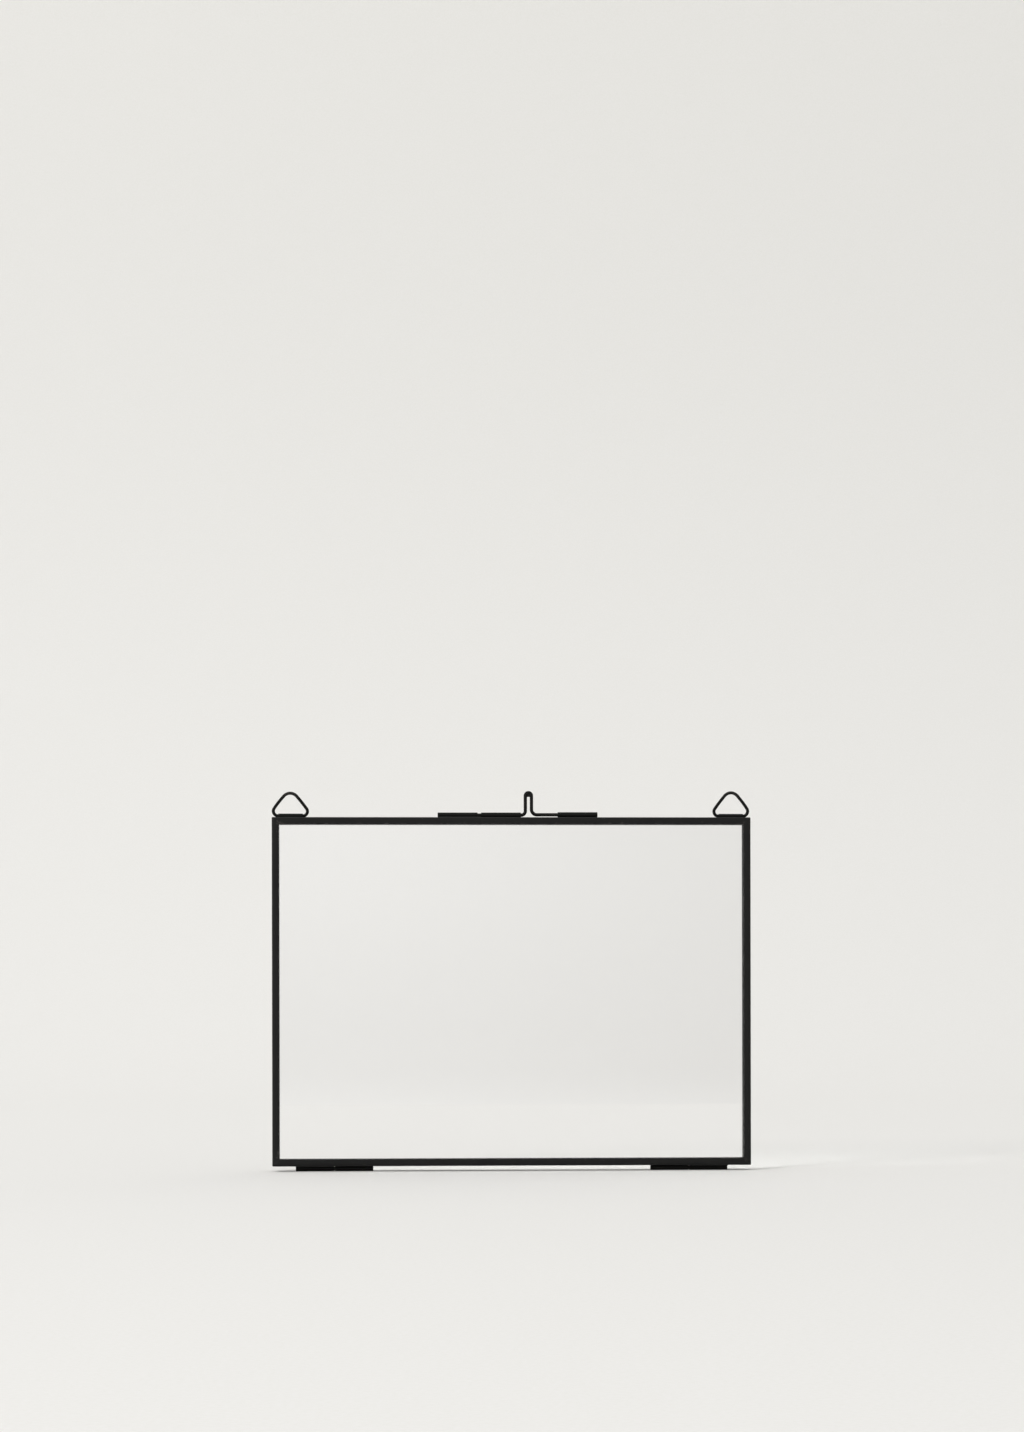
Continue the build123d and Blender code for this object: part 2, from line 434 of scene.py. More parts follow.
def make_piece(name, bm, materials, body, slot, *replaced, sharp=38):
    """Turns a bmesh into a piece that rides on a body and stands for the replaced nodes."""
    bmesh.ops.recalc_face_normals(bm, faces=bm.faces)
    mesh = bpy.data.meshes.new(name)
    bm.to_mesh(mesh)
    bm.free()
    mesh.shade_smooth()
    mesh.set_sharp_from_angle(angle=math.radians(sharp))
    for material in materials:
        mesh.materials.append(material)
    piece = bpy.data.objects.new(name, mesh)
    bpy.context.scene.collection.objects.link(piece)
    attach(piece, body)
    if replaced:
        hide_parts(*replaced)


def arc(centre, radius, start, end, steps):
    """Points on an arc between two angles in degrees, both ends included."""
    angles = (math.radians(start + (end - start) * step / steps) for step in range(steps + 1))
    return [(centre[0] + radius * math.cos(a), centre[1] + radius * math.sin(a)) for a in angles]


def outward(outline, index):
    """Unit normal that points out of a closed counter-clockwise outline."""
    before = outline[index - 1]
    after = outline[(index + 1) % len(outline)]
    return Vector((after[1] - before[1], before[0] - after[0])).normalized()


def wander(seed, along, across=0.0, length=HAND_WAVE_LENGTH):
    """Smooth chance between -1 and 1, the same each time, for what a hand leaves uneven."""
    return noise.noise(Vector((along / length, across, seed * 7.31 + 0.5)))


def ease(distance, reach):
    """0 at an end, rising smoothly to 1 at reach."""
    share = min(max(distance / reach, 0.0), 1.0)
    return share * share * (3 - 2 * share)


def stations(length, spacing):
    """Distances along a length, close together where its cut ends are eased."""
    near = [0, CUT_EASE, 3 * CUT_EASE, 6 * CUT_EASE, 10 * CUT_EASE, 20 * CUT_EASE]
    middle = length - 2 * near[-1]
    count = max(1, round(middle / spacing))
    inner = [near[-1] + middle * step / count for step in range(1, count)]
    return near + inner + [length - place for place in reversed(near)]


# --- the two half frames ----------------------------------------------------------------------------
body_of_node = {
    node: body for body, nodes in frame["record"]["behaviour"]["bodies"].items() for node in nodes
}


def channel_outline(half_depth, face_width, sheet):
    """The folded U across a bar, counter-clockwise from its web, as (y, distance inwards), and
    how much each of its points is lightened: wear, and partly a painted highlight on the folds and
    lips."""
    outside = sheet + FOLD_RADIUS
    lip_height = face_width - LIP_EASE
    # Lighter on the outer fold and the lips: wear, and partly a painted highlight.
    stretches = [
        (arc((half_depth - outside, outside), outside, -90, 0, FOLD_STEPS), 0.25),
        (arc((half_depth - LIP_EASE, lip_height), LIP_EASE, 0, 90, LIP_STEPS), 0.4),
        (arc((half_depth - sheet + LIP_EASE, lip_height), LIP_EASE, 90, 180, LIP_STEPS), 0.3),
        (arc((half_depth - sheet - FOLD_RADIUS, outside), FOLD_RADIUS, 0, -90, 2), 0.0),
    ]
    right = [point for points, _ in stretches for point in points]
    wear_and_highlight = [amount for points, amount in stretches for _ in points]
    left = [(-y, inwards) for y, inwards in reversed(right)]
    return right + left, wear_and_highlight + wear_and_highlight[::-1]


def dressed(across, upright, box):
    """Moves a point outside the frame's rounded corners onto them. box is the half's rectangle."""
    low, high = box
    x = min(max(across, low[0] + CORNER_RADIUS), high[0] - CORNER_RADIUS)
    z = min(max(upright, low[1] + CORNER_RADIUS), high[1] - CORNER_RADIUS)
    away = Vector((across - x, upright - z))
    if abs(away.x) > 0 and abs(away.y) > 0 and away.length > CORNER_RADIUS:
        away *= CORNER_RADIUS / away.length
    return x + away.x, z + away.y


def bar_frames(half):
    """Middle of each bar's outer web, its direction, its inward direction and its half length."""
    low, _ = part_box(f"{half}_bottom_channel")
    _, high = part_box(f"{half}_top_channel")
    left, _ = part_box(f"{half}_left_channel")
    _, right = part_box(f"{half}_right_channel")
    depth = (low.y + high.y) / 2
    across = (left.x + right.x) / 2
    upright = (low.z + high.z) / 2
    wide = (right.x - left.x) / 2
    tall = (high.z - low.z) / 2
    x_way = Vector((1, 0, 0))
    z_way = Vector((0, 0, 1))
    return {
        "bottom": (Vector((across, depth, low.z)), x_way, z_way, wide),
        "right": (Vector((right.x, depth, upright)), z_way, -x_way, tall),
        "top": (Vector((across, depth, high.z)), -x_way, -z_way, wide),
        "left": (Vector((left.x, depth, upright)), -z_way, x_way, tall),
    }, ((left.x - COAT, low.z - COAT), (right.x + COAT, high.z + COAT))


def half_sizes(half):
    """Half depth, face width and sheet thickness of a half's channel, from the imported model."""
    low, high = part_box(f"{half}_bottom_channel")
    glass_low, glass_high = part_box(f"{half}_glass")
    sheet = min(abs(glass_low.y - low.y), abs(high.y - glass_high.y))
    return (high.y - low.y) / 2, high.z - low.z, sheet


def make_channel(half, bar, seed):
    """One bar: the folded U between its two mitres, with its faces as even as a hand folds them."""
    frames, rectangle = bar_frames(half)
    origin, along, inward, reach = frames[bar]
    outline, wear_and_highlight = channel_outline(*half_sizes(half))
    normals = [outward(outline, index) for index in range(len(outline))]
    bm = new_bmesh()
    rings = []
    for place in stations(2 * reach, FACE_SPACING):
        from_end = min(place, 2 * reach - place)
        hand = -1 if place < reach else 1
        inset = CUT_EASE * (1 - ease(from_end, CUT_EASE))
        points = []
        for (y, inwards), normal in zip(outline, normals):
            wave = 0.5 + 0.5 * wander(seed, place, (y + inwards) / (4 * MM))
            give = inset + HAND_WAVE * wave * ease(from_end, HAND_WAVE_REACH) - COAT
            y -= normal.x * give
            inwards -= normal.y * give
            run = hand * (reach - from_end - inwards)
            if from_end > reach - inwards:
                run = 0
            point = origin + along * run + inward * inwards
            x, z = dressed(point.x, point.z, rectangle)
            points.append((x, origin.y + y, z))
        # Lighter at the mitres and in patches along the edges: wear, and partly a painted highlight.
        corner_wear_and_highlight = CORNER_WEAR_AND_HIGHLIGHT * (1 - ease(from_end, CORNER_WEAR_AND_HIGHLIGHT_REACH))
        patches = PATCH_WEAR_AND_HIGHLIGHT * wander(seed + 50, place, length=PATCH_LENGTH)
        worn_and_highlighted = [amount + (corner_wear_and_highlight + patches if amount > 0 else 0) for amount in wear_and_highlight]
        rings.append(add_ring(bm, points, worn_and_highlighted))
    skin(bm, rings)
    node = f"{half}_{bar}_channel"
    make_piece(f"{node}_folded", bm, [folded_steel], body_of_node[node], "frame_metal", node)


def make_bead(name, path, sideways, normals, half_width, height, seed, body):
    """A run of solder along a path, half sunk in the metal and closed at both ends."""
    bm = new_bmesh()
    rings = []
    travelled = 0.0
    total = sum((b - a).length for a, b in zip(path, path[1:]))
    for index, point in enumerate(path):
        if index:
            travelled += (point - path[index - 1]).length
        from_end = min(travelled, total - travelled)
        close = BEAD_END + (1 - BEAD_END) * ease(from_end, 2 * half_width)
        lump = 1 + BEAD_LUMP * wander(seed, travelled, length=BEAD_LUMP_LENGTH)
        ring = []
        for angle in range(0, 360, 36):
            turn = math.radians(angle)
            side = sideways * half_width * close * lump * math.cos(turn)
            ring.append(point + side + normals[index] * height * close * lump * math.sin(turn))
        rings.append(add_ring(bm, ring, 0.2))
    skin(bm, rings)
    make_piece(name, bm, [lacquered_solder], body, "frame_metal", sharp=80)


def make_corner_seam(half, bars, seed):
    """The solder that fills a mitre and shows as a fine raised line round the outside."""
    frames, rectangle = bar_frames(half)
    _, _, first_inward, _ = frames[bars[0]]
    _, _, second_inward, _ = frames[bars[1]]
    diagonal = (first_inward + second_inward).normalized()
    plane_normal = diagonal.cross(Vector((0, 1, 0)))
    low, high = rectangle
    corner = Vector(
        (
            low[0] + COAT if diagonal.x > 0 else high[0] - COAT,
            frames[bars[0]][0].y,
            low[1] + COAT if diagonal.z > 0 else high[1] - COAT,
        )
    )
    outline, _ = channel_outline(*half_sizes(half))
    middle = len(outline) // 2
    outer = outline[middle + GROOVE_POINTS :] + outline[: middle - GROOVE_POINTS]
    blunt = CORNER_RADIUS * (math.sqrt(2) - 1)
    flat = [Vector((y, max(inwards * math.sqrt(2), blunt))) for y, inwards in outer]
    path = []
    normals = []
    for index, point in enumerate(flat):
        before = flat[max(index - 1, 0)]
        after = flat[min(index + 1, len(flat) - 1)]
        way = after - before
        facing = Vector((way.y, -way.x)).normalized()
        path.append(corner + Vector((0, point.x, 0)) + diagonal * point.y)
        normals.append(Vector((0, facing.x, 0)) + diagonal * facing.y)
    make_bead(
        f"{half}_{bars[0]}_{bars[1]}_corner_solder",
        path,
        plane_normal,
        normals,
        SEAM_HALF_WIDTH,
        SEAM_HEIGHT + COAT,
        seed,
        body_of_node[f"{half}_{bars[0]}_channel"],
    )


def make_pane(half):
    """A pane with flat faces and a ground arris all round."""
    node = f"{half}_glass"
    low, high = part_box(node)
    levels = [(low.y, ARRIS), (low.y + ARRIS, 0), (high.y - ARRIS, 0), (high.y, ARRIS)]
    bm = new_bmesh()
    rings = []
    for y, inset in levels:
        x0, z0 = low.x + inset, low.z + inset
        x1, z1 = high.x - inset, high.z - inset
        rings.append(add_ring(bm, [(x0, y, z0), (x1, y, z0), (x1, y, z1), (x0, y, z1)]))
    skin(bm, rings)
    bm.normal_update()
    for face in bm.faces:
        face.material_index = 0 if abs(face.normal.y) > 0.9 else 1
    materials = [pane_glass, pane_edge]
    make_piece(f"{node}_pane", bm, materials, body_of_node[node], "pane_glass", node, sharp=10)


BARS = ("bottom", "right", "top", "left")
for half_index, half in enumerate(("front", "back")):
    for bar_index, bar in enumerate(BARS):
        seed = 10 * half_index + bar_index
        make_channel(half, bar, seed)
        make_corner_seam(half, (bar, BARS[(bar_index + 1) % 4]), seed + 100)
    make_pane(half)


# --- barrels rolled from strip ----------------------------------------------------------------------
def strip_outline(centre_line, strip):
    """The cross-section of a bent strip, from the line along its middle, with eased edges."""
    near = []
    far = []
    for index, point in enumerate(centre_line):
        before = Vector(centre_line[max(index - 1, 0)])
        after = Vector(centre_line[min(index + 1, len(centre_line) - 1)])
        way = (after - before).normalized()
        side = Vector((-way.y, way.x)) * strip / 2
        near.append(Vector(point) - side)
        far.append(Vector(point) + side)
    outline = near + far[::-1]
    area = sum(a.x * b.y - b.x * a.y for a, b in zip(outline, outline[1:] + outline[:1]))
    return outline if area > 0 else outline[::-1]


def rolled_line(bore, strip, lift, tail, sweep=ROLL_SWEEP):
    """A barrel's strip: its tail along the bar, then round the bore to its own free edge.

    tail is where the tail ends, on the negative side of the axis.
    """
    radius = bore + strip / 2
    axis = lift + bore + strip
    rise = [(tail, strip / 2), (tail * 0.6, strip / 2), (-radius * 0.9, strip / 2 + 0.1 * lift)]
    return rise + arc((0, axis), radius, -90 - ROLL_LEAD, -90 + sweep, ROLL_STEPS)[1:]


def strap_line(bore, strip, lift, tail):
    """A ring's strap: two tails on the bar and a loop over the wire between them."""
    radius = bore + strip / 2
    axis = lift + bore + strip
    loop = arc((0, axis), radius, 180 + STRAP_SPRING, -STRAP_SPRING, STRAP_STEPS)
    foot_start = (-tail, strip / 2)
    foot_bend = (-radius * 1.12, strip / 2)
    mirrored = [(-foot_bend[0], foot_bend[1]), (-foot_start[0], foot_start[1])]
    return [foot_start, foot_bend] + loop + mirrored


def make_barrel(node, line, strip, axis_y, tail_side, facing, bar_z, seed):
    """Extrudes a strip's cross-section along X, with eased ends and the unevenness of hand work."""
    low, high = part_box(node)
    length = high.x - low.x
    outline = strip_outline(line, strip)
    normals = [outward(outline, index) for index in range(len(outline))]
    bm = new_bmesh()
    rings = []
    for place in stations(length, STRIP_SPACING):
        from_end = min(place, length - place)
        inset = CUT_EASE * (1 - ease(from_end, CUT_EASE))
        shift = STRIP_WANDER * wander(seed, place, length=5 * MM)
        points = []
        for point, normal in zip(outline, normals):
            y = point.x - normal.x * inset
            height = max(point.y - normal.y * inset + min(shift, 0) * ease(point.y, strip), 0)
            points.append((low.x + place, axis_y + tail_side * y, bar_z + facing * height))
        worn_and_highlighted = STRIP_RUB + STRIP_END_RUB * (1 - ease(from_end, STRIP_RUB_REACH))
        rings.append(add_ring(bm, points, worn_and_highlighted))
    skin(bm, rings)
    body = body_of_node[node]
    make_piece(f"{node}_rolled", bm, [rolled_strip], body, "barrel_metal", node, sharp=42)


def make_tail_fillet(node, y, facing, bar_z, seed, label, overrun=0.0):
    """The run of solder along a tail's edge, where it is joined to its bar.

    overrun is how far it flowed on past the tail's right end.
    """
    low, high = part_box(node)
    ends = 0.35 * MM
    count = 24
    run = high.x - low.x - 2 * ends + overrun
    path = []
    for step in range(count + 1):
        along = run * step / count
        drift = 0.05 * MM * wander(seed, along, length=2 * MM)
        path.append(Vector((low.x + ends + along, y + drift, bar_z)))
    make_bead(
        f"{node}_{label}",
        path,
        Vector((0, 1, 0)),
        [Vector((0, 0, facing))] * len(path),
        FILLET_HALF_WIDTH,
        FILLET_HEIGHT,
        seed,
        body_of_node[node],
    )


bar_low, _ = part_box("front_bottom_channel")
_, bar_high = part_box("front_top_channel")
BARRELS = {
    "hinge_left_front_knuckle": (FRONT, DOWN),
    "hinge_left_back_knuckle": (BACK, DOWN),
    "hinge_right_front_knuckle": (FRONT, DOWN),
    "hinge_right_back_knuckle": (BACK, DOWN),
    "latch_catch_barrel": (FRONT, UP),
    "latch_guide_barrel": (BACK, UP),
    "latch_tail_barrel": (BACK, UP),
}
pin_low, pin_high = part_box("hinge_left_pin")
wire_radius = (pin_high.z - pin_low.z) / 2
for seed, (node, (side, facing)) in enumerate(BARRELS.items(), start=200):
    low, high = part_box(node)
    bar_z = bar_low.z if facing == DOWN else bar_high.z
    outer = (max(abs(low.z - bar_z), abs(high.z - bar_z)) - BARREL_LIFT) / 2 + COAT
    tight = node.endswith("back_knuckle")
    bore = wire_radius + COAT + (0 if tight else RUNNING_CLEARANCE)
    strip = outer - bore
    tail = max(abs(low.y), abs(high.y))
    rise = RUN_RISE if node == "latch_tail_barrel" else 0
    line = rolled_line(bore, strip, BARREL_LIFT - COAT + rise, -tail)
    make_barrel(node, line, strip, 0, -side, facing, bar_z, seed)
    overrun = CATCH_OVERRUN if node == "latch_catch_barrel" else 0
    make_tail_fillet(node, side * tail, facing, bar_z, seed + 30, "solder", overrun)

for seed, hand in enumerate(("left", "right"), start=260):
    node = f"ring_{hand}_sleeve"
    low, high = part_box(node)
    ring_low, ring_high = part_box(f"ring_{hand}")
    ring_radius = (ring_high.y - ring_low.y) / 2
    axis_y = (low.y + high.y) / 2
    bore = ring_radius + COAT + RUNNING_CLEARANCE
    strip = (high.z - bar_high.z - STRAP_LIFT) / 2 + COAT - bore
    tail = (high.y - low.y) / 2
    line = strap_line(bore, strip, 0.0, tail)
    make_barrel(node, line, strip, axis_y, 1, UP, bar_high.z, seed)
    make_tail_fillet(node, low.y, UP, bar_high.z, seed + 30, "front_solder")
    make_tail_fillet(node, high.y, UP, bar_high.z, seed + 60, "back_solder")


# --- bent wires -------------------------------------------------------------------------------------
def bent_path(points, radii, step):
    """A flat line of straight runs with a round bend at each inner point, as evenly spaced points."""
    corners = [Vector(point) for point in points]
    path = [corners[0]]
    for before, corner, after, radius in zip(corners, corners[1:], corners[2:], radii):
        incoming = (corner - before).normalized()
        outgoing = (after - corner).normalized()
        turn = math.atan2(incoming.x * outgoing.y - incoming.y * outgoing.x, incoming @ outgoing)
        start = corner - incoming * radius * math.tan(abs(turn) / 2)
        side = Vector((-incoming.y, incoming.x)) * math.copysign(1, turn)
        centre = start + side * radius
        count = max(3, round(abs(turn) / math.radians(9)))
        for index in range(count + 1):
            angle = turn * index / count
            spoke = Matrix.Rotation(angle, 2) @ (-side * radius)
            path.append(centre + spoke)
    path.append(corners[-1])
    spaced = [path[0]]
    for before, after in zip(path, path[1:]):
        count = max(1, math.ceil((after - before).length / step))
        spaced += [before.lerp(after, index / count) for index in range(1, count + 1)]
    return spaced


def make_wire(name, path, y, radius, body, seed, rub_at, *replaced):
    """A round lacquered wire along a flat path in the plane of the frame, its cut ends eased.

    radius is the bare wire's, and rub_at gives the wear at a point of the path.
    """
    total = sum((b - a).length for a, b in zip(path, path[1:]))
    bm = new_bmesh()
    rings = []
    travelled = 0.0
    for index, point in enumerate(path):
        if index:
            travelled += (point - path[index - 1]).length
        way = (path[min(index + 1, len(path) - 1)] - path[max(index - 1, 0)]).normalized()
        side = Vector((way.y, -way.x))
        from_end = min(travelled, total - travelled)
        eased = [(0.0, 1.0)]
        if index == 0:
            eased = CUT_BEVEL
        elif index == len(path) - 1:
            eased = [(-depth, share) for depth, share in reversed(CUT_BEVEL)]
        drift = ease(from_end, 4 * MM)
        for shift, share in eased:
            thin = 1 - 0.01 * drift * (1 + wander(seed, travelled, length=3 * MM))
            size = (radius + COAT) * share * thin
            middle = point + way * shift
            ring = []
            for corner in range(WIRE_SIDES):
                angle = math.tau * corner / WIRE_SIDES
                flat = middle + side * size * math.cos(angle)
                ring.append((flat.x, y + size * math.sin(angle), flat.y))
            rings.append(add_ring(bm, ring, rub_at(point)))
    skin(bm, rings)
    make_piece(name, bm, [drawn_wire], body, "wire_metal", *replaced, sharp=60)


def make_latch_pin():
    low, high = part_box("latch_pin")
    _, guide_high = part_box("latch_guide_barrel")
    radius = (high.y - low.y) / 2
    axis_z = low.z + radius
    near_leg = guide_high.x + GRIP_STOP_GAP + GRIP_NEAR_BEND
    far_leg = near_leg + GRIP_LEG_SPACING
    crown = high.z - radius + GRIP_STRETCH
    run_z = axis_z + RUN_RISE
    crown_bend = GRIP_LEG_SPACING / 2 * 0.99
    points = [
        (low.x, axis_z),
        (near_leg, axis_z),
        (near_leg, crown),
        (far_leg, crown),
        (far_leg, run_z),
        (high.x, run_z),
    ]
    radii = [GRIP_NEAR_BEND, crown_bend, crown_bend, GRIP_FAR_BEND]
    path = bent_path(points, radii, 0.6 * MM)

    def rub_at(point):
        """Rubbed where a thumb slides the grip and where the wire runs in the barrels."""
        thumb = 0.3 * ease(point.y - axis_z, crown - axis_z)
        run = 0.42 if point.y < run_z + 0.1 * MM else 0.0
        return 0.14 + max(thumb, run)

    make_wire(
        "latch_pin_bent", path, 0.0, radius, body_of_node["latch_pin"], 300, rub_at, "latch_pin"
    )

    # Lacquer runs together under the crown and dries there as a web between the two legs.
    middle = (near_leg + far_leg) / 2
    bm = new_bmesh()
    rings = []
    count = 12
    for step in range(count + 1):
        share = 2 * step / count - 1
        x = middle + share * GRIP_LEG_SPACING / 2
        top = crown - 0.35 * radius
        bottom = crown - radius - CROWN_WEB - 0.3 * MM * share * share
        thick = radius * (0.5 + 0.3 * share * share)
        ring = []
        for corner in range(WIRE_SIDES):
            angle = math.tau * corner / WIRE_SIDES
            z = (top + bottom) / 2 + (top - bottom) / 2 * math.sin(angle)
            ring.append((x, thick * math.cos(angle), z))
        rings.append(add_ring(bm, ring, 0.1))
    skin(bm, rings)
    make_piece(
        "latch_pin_lacquer_web",
        bm,
        [lacquered_solder],
        body_of_node["latch_pin"],
        "wire_metal",
        sharp=60,
    )


def make_ring(hand, left_bow, right_bow, lean, stretch):
    """A rounded triangle of wire, bent by hand, so that its legs bow and its crown leans.

    stretch is how much taller than drawn it came out.
    """
    node = f"ring_{hand}"
    low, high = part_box(node)
    radius = (high.y - low.y) / 2
    centre = (low.x + high.x) / 2
    axis_z = low.z + radius
    half_angle = math.radians(RING_BASE_ANGLE / 2)
    base_half = (high.x - low.x) / 2 - radius - RING_CORNER_RADIUS
    corner_x = base_half + RING_CORNER_RADIUS / math.tan(half_angle)
    apex_z = corner_x * math.tan(math.radians(RING_BASE_ANGLE))
    butt = RING_BUTT_GAP / 2
    points = [(butt, 0), (corner_x, 0), (0, apex_z), (-corner_x, 0), (-butt, 0)]
    radii = [RING_CORNER_RADIUS, RING_CROWN_RADIUS, RING_CORNER_RADIUS]
    flat = bent_path(points, radii, 0.5 * MM)
    top = high.z - radius - axis_z + stretch
    taller = top / max(point.y for point in flat)
    path = []
    for point in flat:
        height = point.y * taller / top
        bow = left_bow if point.x < 0 else right_bow
        swell = bow * math.sin(math.pi * min(max(height, 0), 1)) ** 1.5
        x = point.x + math.copysign(swell, point.x) + lean * height * height
        path.append(Vector((centre + x, axis_z + point.y * taller)))

    def rub_at(point):
        """Rubbed at the crown, where the ring hangs, and lightly all along."""
        crown = 0.42 * ease(point.y - axis_z - 0.6 * top, 0.4 * top)
        return 0.2 + crown

    make_wire(
        f"{node}_bent", path, (low.y + high.y) / 2, radius, body_of_node[node], 310, rub_at, node
    )


def make_hinge_pin(hand):
    node = f"hinge_{hand}_pin"
    low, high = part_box(node)
    radius = (high.z - low.z) / 2
    axis_z = (low.z + high.z) / 2
    path = bent_path([(low.x, axis_z), ((low.x + high.x) / 2, axis_z), (high.x, axis_z)], [MM], MM)
    make_wire(f"{node}_cut", path, 0.0, radius, body_of_node[node], 320, lambda point: 0.6, node)


make_latch_pin()
make_ring("left", 0.38 * MM, 0.16 * MM, -0.14 * MM, 0.1 * MM)
make_ring("right", 0.14 * MM, 0.34 * MM, 0.14 * MM, 0.4 * MM)
make_hinge_pin("left")
make_hinge_pin("right")


# --- stage, lights and camera -----------------------------------------------------------------------
SWEEP_FRONT = -0.78
SWEEP_BACK = 1.9
SWEEP_HALF_WIDTH = 3.2
SWEEP_HEIGHT = 3.2
COVE_RADIUS = 1.1
HORIZON_REACH = 0.1  # of a direction's height, over which the studio's tone changes
DIM_SIDE = 0.5  # share of the light that comes from the right
PLAIN_LOW = (0.748, 0.747, 0.719, 1)  # the studio near the floor, the colour of the lit paper
PLAIN_HIGH = (0.87, 0.87, 0.87, 1)
WORLD_STRENGTH = 1.115
BAND_HEIGHTS = [(-0.036, 0.84), (-0.029, 0.66), (-0.023, 0.54), (-0.008, 0.52)]
BAND_HEIGHTS += [(0.01, 0.6), (0.035, 0.74), (0.06, 0.82), (0.1, 0.9)]  # height and tone
# Limits of the directions from the frame in which the studio's tone changes, as unit components.
BAND_AHEAD = (-0.985, -0.965)  # along Y
BAND_FOOT = (-0.07, -0.045)  # along Z
DIM_AHEAD = (-0.94, -0.87)
DIM_FOOT = (-0.05, -0.02)
DIM_TURN = (-0.04, 0.16)  # along X
DIM_ALOFT = (0.22, 0.42)
PLAIN_RISE = (0.1, 0.45)
LENS = 77.8
LENS_RISE = 0.1995
CAMERA_PLACE = Vector((-48.3, -1211, 66)) * MM
CAMERA_TURN = -2.288  # degrees
CAMERA_ROLL = -0.1
LAMP_TARGET = (0, 0, 0.05)
SOFTBOX_PLACE = (-1.9, -2.0, 1.7)
SPOT_PLACE = (-2.05, -2.2, 1.5)


def make_sweep():
    """A paper sweep: floor, a wide cove and a wall, in one sheet."""
    floor = -COAT
    profile = [(SWEEP_FRONT, floor), (-0.4, floor), (0.0, floor)]
    profile += arc((SWEEP_BACK - COVE_RADIUS, floor + COVE_RADIUS), COVE_RADIUS, -90, 0, 32)
    profile += [(SWEEP_BACK, SWEEP_HEIGHT)]
    mesh = bpy.data.meshes.new("paper_sweep")
    sides = (-SWEEP_HALF_WIDTH, SWEEP_HALF_WIDTH)
    verts = [(x, y, z) for y, z in profile for x in sides]
    faces = [(2 * i, 2 * i + 1, 2 * i + 3, 2 * i + 2) for i in range(len(profile) - 1)]
    mesh.from_pydata(verts, [], faces)
    mesh.shade_smooth()
    mesh.materials.append(paper_sweep())
    sweep = bpy.data.objects.new("paper_sweep", mesh)
    bpy.context.scene.collection.objects.link(sweep)


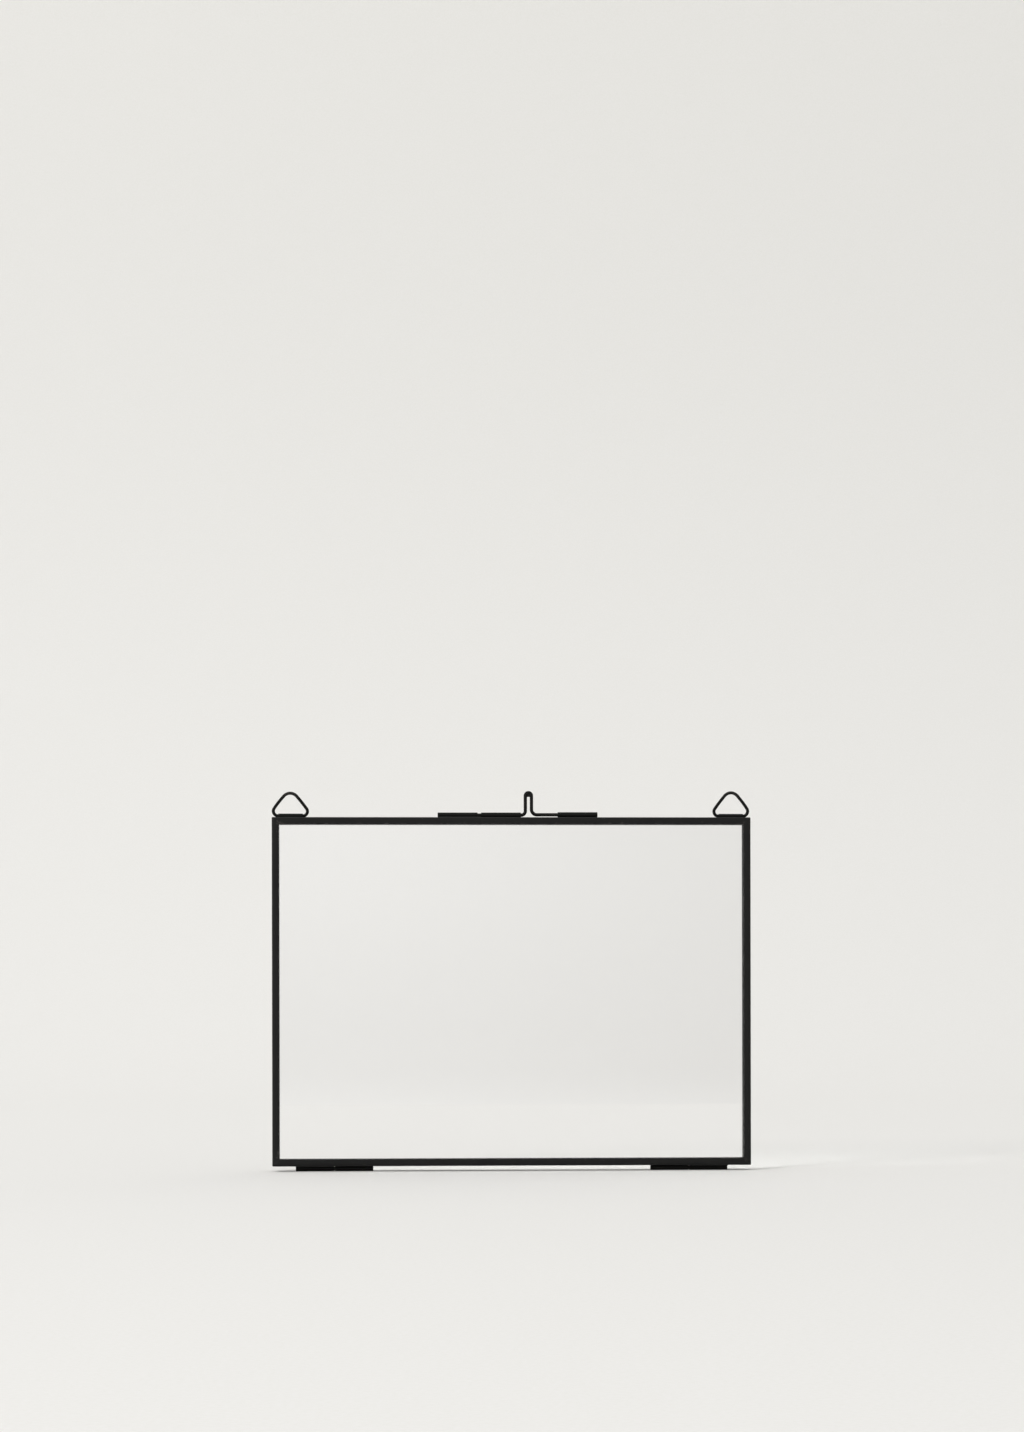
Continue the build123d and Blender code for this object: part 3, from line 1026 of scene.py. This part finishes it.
def make_world():
    """The white studio round the set. In front of the frame, where the panes and the satin lacquer
    mirror it, it has a low grey band and is dimmer to the right. Elsewhere it is plain and pale,
    and only the light from high on the right is held back."""
    world = bpy.data.worlds.new("studio")
    world.use_nodes = True
    tree = world.node_tree
    tree.nodes.clear()
    way = add_node(tree, "ShaderNodeTexCoord").outputs["Generated"]
    parts = add_node(tree, "ShaderNodeSeparateXYZ", links={"Vector": way})
    smooth = {"interpolation_type": "SMOOTHSTEP"}
    reaches = {
        "plain_rise": ("Z", PLAIN_RISE, 0.0, 1.0),
        "band_ahead": ("Y", BAND_AHEAD, 1.0, 0.0),
        "band_foot": ("Z", BAND_FOOT, 0.0, 1.0),
        "dim_ahead": ("Y", DIM_AHEAD, 1.0, 0.0),
        "dim_foot": ("Z", DIM_FOOT, 0.0, 1.0),
        "dim_aloft": ("Z", DIM_ALOFT, 0.0, 1.0),
        "dim_turn": ("X", DIM_TURN, 1.0, DIM_SIDE),
    }
    share = {}
    for name, (axis, (low, high), at_low, at_high) in reaches.items():
        limits = {"From Min": low, "From Max": high, "To Min": at_low, "To Max": at_high}
        node = add_node(tree, "ShaderNodeMapRange", smooth, limits, {"Value": parts.outputs[axis]})
        share[name] = node.outputs["Result"]

    level = add_node(
        tree,
        "ShaderNodeMapRange",
        values={"From Min": -HORIZON_REACH, "From Max": HORIZON_REACH},
        links={"Value": parts.outputs["Z"]},
    ).outputs["Result"]
    band = add_node(tree, "ShaderNodeValToRGB", links={"Fac": level})
    stops = [((height / HORIZON_REACH + 1) / 2, grey(value)) for height, value in BAND_HEIGHTS]
    set_ramp(band, stops)
    plain = add_node(tree, "ShaderNodeValToRGB", links={"Fac": share["plain_rise"]})
    set_ramp(plain, [(0, PLAIN_LOW), (1, PLAIN_HIGH)])
    before_frame = add_node(
        tree,
        "ShaderNodeMath",
        {"operation": "MULTIPLY"},
        links={0: share["band_ahead"], 1: share["band_foot"]},
    ).outputs[0]
    facing_set = add_node(
        tree,
        "ShaderNodeMath",
        {"operation": "MULTIPLY"},
        links={0: share["dim_ahead"], 1: share["dim_foot"]},
    ).outputs[0]
    tone = add_node(
        tree,
        "ShaderNodeMix",
        {"data_type": "RGBA"},
        links={
            "Factor": before_frame,
            "A": plain.outputs["Color"],
            "B": band.outputs["Color"],
        },
    )
    held_back = add_node(
        tree,
        "ShaderNodeMath",
        {"operation": "MAXIMUM"},
        links={0: facing_set, 1: share["dim_aloft"]},
    ).outputs[0]
    side = add_node(
        tree,
        "ShaderNodeMix",
        values={"A": 1.0},
        links={"Factor": held_back, "B": share["dim_turn"]},
    ).outputs["Result"]
    strength = add_node(
        tree, "ShaderNodeMath", {"operation": "MULTIPLY"}, {1: WORLD_STRENGTH}, {0: side}
    ).outputs[0]
    glow = add_node(
        tree,
        "ShaderNodeBackground",
        links={"Color": tone.outputs["Result"], "Strength": strength},
    )
    add_node(tree, "ShaderNodeOutputWorld", links={"Surface": glow.outputs["Background"]})
    bpy.context.scene.world = world


def make_light(name, place, target, width, height, power, colour, spread=180):
    lamp = bpy.data.lights.new(name, "AREA")
    lamp.spread = math.radians(spread)
    lamp.shape = "RECTANGLE"
    lamp.size = width
    lamp.size_y = height
    lamp.energy = power
    lamp.color = linear(colour)[:3]
    light = bpy.data.objects.new(name, lamp)
    light.location = place
    light.rotation_euler = (Vector(target) - Vector(place)).to_track_quat("-Z", "Y").to_euler()
    bpy.context.scene.collection.objects.link(light)


def make_camera():
    """Level and a little left of the middle, with its lens raised so that uprights stay upright."""
    lens = bpy.data.cameras.new("camera")
    lens.lens = LENS
    lens.sensor_width = 36
    lens.shift_y = LENS_RISE
    lens.clip_start = 0.05
    lens.clip_end = 30
    camera = bpy.data.objects.new("camera", lens)
    turn = Matrix.Rotation(math.radians(CAMERA_TURN), 4, "Z")
    tip = Matrix.Rotation(math.radians(90), 4, "X")
    roll = Matrix.Rotation(math.radians(CAMERA_ROLL), 4, "Z")
    place = Matrix.Translation(CAMERA_PLACE)
    camera.matrix_world = place @ turn @ tip @ roll
    bpy.context.scene.collection.objects.link(camera)
    bpy.context.scene.camera = camera


make_sweep()
make_world()
make_light("softbox", SOFTBOX_PLACE, LAMP_TARGET, 1.0, 1.0, 25.0, "#fffefc")
make_light("spot", SPOT_PLACE, LAMP_TARGET, 0.2, 0.2, 14.0, "#fffefc")
make_light("background_light", (0.0, 0.8, 1.7), (0.0, 0.85, 0.0), 2.6, 0.4, 1.3, "#ffffff", 95)
make_camera()
bpy.context.scene.view_settings.view_transform = "Standard"
